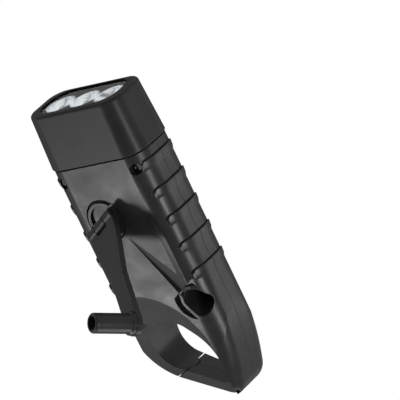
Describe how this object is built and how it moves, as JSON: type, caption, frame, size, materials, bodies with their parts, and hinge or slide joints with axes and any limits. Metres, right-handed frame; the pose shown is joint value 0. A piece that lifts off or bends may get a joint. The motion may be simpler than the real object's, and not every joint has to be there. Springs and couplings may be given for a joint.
{
  "type": "hand crank flashlight",
  "caption": "Hand crank and solar flashlight with a flat lens head, a folding crank and a carabiner loop tail",
  "frame": {"origin": "centre of the flat lens rim, on the plane the flashlight stands on when it is head down", "axes": "X across the flat body from the gate side to the closed spine of the loop; Y from the solar side to the crank side; Z from the lens rim to the carabiner tip"},
  "size_m": [0.0515, 0.077, 0.1387],
  "materials": {
    "shell_plastic": "satin moulded black",
    "bezel_plastic": "glossy black",
    "window": "clear",
    "mirror_chrome": "vacuum plated",
    "led_epoxy": "clear epoxy",
    "board": "green solder mask",
    "solar_film": "thin film under clear resin",
    "wire": "enamelled copper",
    "zinc_screw": "zinc plated",
    "capacitor_sleeve": "shrink sleeve",
    "switch_plastic": "moulded",
    "cell_wrap": "shrink wrap",
    "nickel_strip": "nickel strip",
    "generator_steel": "drawn",
    "magnet": "sintered",
    "plate_metal": "stamped",
    "pin_steel": "bright",
    "bush_brass": "turned",
    "gear_plastic": "natural acetal",
    "button_rubber": "soft"
  },
  "bodies": {
    "body": {"head_shell": "shell_plastic", "lens_window": "window", "reflector": "mirror_chrome", "led_left": "led_epoxy", "led_middle": "led_epoxy", "led_right": "led_epoxy", "led_board": "board", "front_shell": "shell_plastic", "back_shell": "shell_plastic", "solar_bezel": "bezel_plastic", "solar_cell": "solar_film", "panel_leads": "wire", "main_board": "board", "board_screws": "zinc_screw", "capacitor": "capacitor_sleeve", "tact_switch": "switch_plastic", "battery": "cell_wrap", "battery_tabs": "nickel_strip", "generator_can": "generator_steel", "stator_coil": "wire", "gear_plate": "plate_metal", "gear_plate_screws": "zinc_screw", "idler_pin": "pin_steel", "hub_bush": "bush_brass", "rotor_bushes": "bush_brass", "case_screws": "zinc_screw", "gate_pin": "pin_steel", "gate_spring": "pin_steel"},
    "crank": {"crank_hub": "shell_plastic", "crank_gear": "gear_plastic", "hub_screw": "zinc_screw"},
    "arm": {"crank_arm": "shell_plastic", "hinge_pin": "pin_steel", "knob_rivet": "pin_steel"},
    "knob": {"knob": "shell_plastic"},
    "idler": {"idler_gear": "gear_plastic"},
    "rotor": {"rotor_shaft": "pin_steel", "rotor_magnet": "magnet", "rotor_pinion": "gear_plastic"},
    "gate": {"gate": "shell_plastic"},
    "button": {"power_button": "button_rubber"}
  },
  "joints": [
    {"name": "crank_spin", "type": "hinge", "parent": "body", "child": "crank", "pos_m": [-0.006, 0.0101, 0.0498], "axis": [0, 1, 0], "continuous": true},
    {"name": "arm_fold", "type": "hinge", "parent": "crank", "child": "arm", "pos_m": [-0.006, 0.0166, 0.0498], "axis": [-0.866, 0, 0.5], "range_deg": [-37, 143]},
    {"name": "knob_spin", "type": "hinge", "parent": "arm", "child": "knob", "pos_m": [0.01309, 0.04537, 0.08286], "axis": [-0.3009, 0.7986, -0.5212], "continuous": true},
    {"name": "gate_swing", "type": "hinge", "parent": "body", "child": "gate", "pos_m": [-0.0208, 0, 0.0982], "axis": [0, 1, 0], "range_deg": [0, 28], "stiffness_Nm_per_rad": 0.02, "springref_deg": -34.38},
    {"name": "button_press", "type": "slide", "parent": "body", "child": "button", "axis": [1, 0, 0], "range_m": [0, 0.0006], "stiffness_N_per_m": 800, "springref_m": -0.0005},
    {"name": "idler_spin", "type": "hinge", "parent": "body", "child": "idler", "pos_m": [0.0093, 0.004, 0.05448], "axis": [0, 1, 0], "continuous": true},
    {"name": "rotor_spin", "type": "hinge", "parent": "body", "child": "rotor", "pos_m": [-0.00022, 0, 0.06734], "axis": [0, 1, 0], "continuous": true}
  ],
  "couplings": [
    {"joint": "idler_spin", "follows": "crank_spin", "ratio": -3},
    {"joint": "rotor_spin", "follows": "crank_spin", "ratio": 9}
  ]
}
